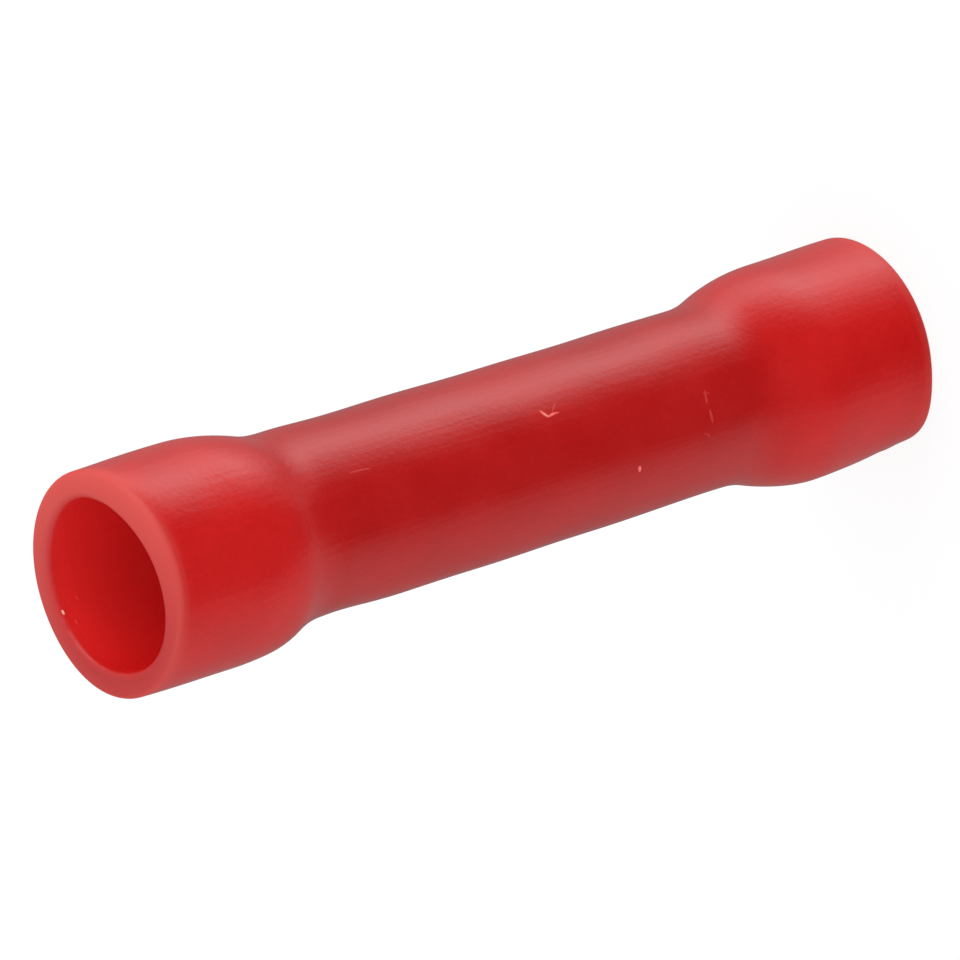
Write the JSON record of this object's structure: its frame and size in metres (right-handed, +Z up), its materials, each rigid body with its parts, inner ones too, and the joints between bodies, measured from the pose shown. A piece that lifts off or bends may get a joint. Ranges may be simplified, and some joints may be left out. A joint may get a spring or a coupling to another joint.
{
  "type": "butt splice connector",
  "caption": "Insulated butt splice connector: a soft plastic sleeve with flared mouths over a metal crimp barrel, joins stripped wires end to end.",
  "frame": {"origin": "centre of the mouth that it stands on", "axes": "+Z up along the wire axis, +X towards the dent of the barrel's wire stop"},
  "size_m": [0.006, 0.0058, 0.025],
  "materials": {
    "red_vinyl": "satin soft PVC, slightly translucent",
    "tinned_copper": "dull tin plating over copper"
  },
  "bodies": {
    "root": {"insulating_sleeve": "red_vinyl", "crimp_barrel": "tinned_copper"}
  },
  "joints": []
}
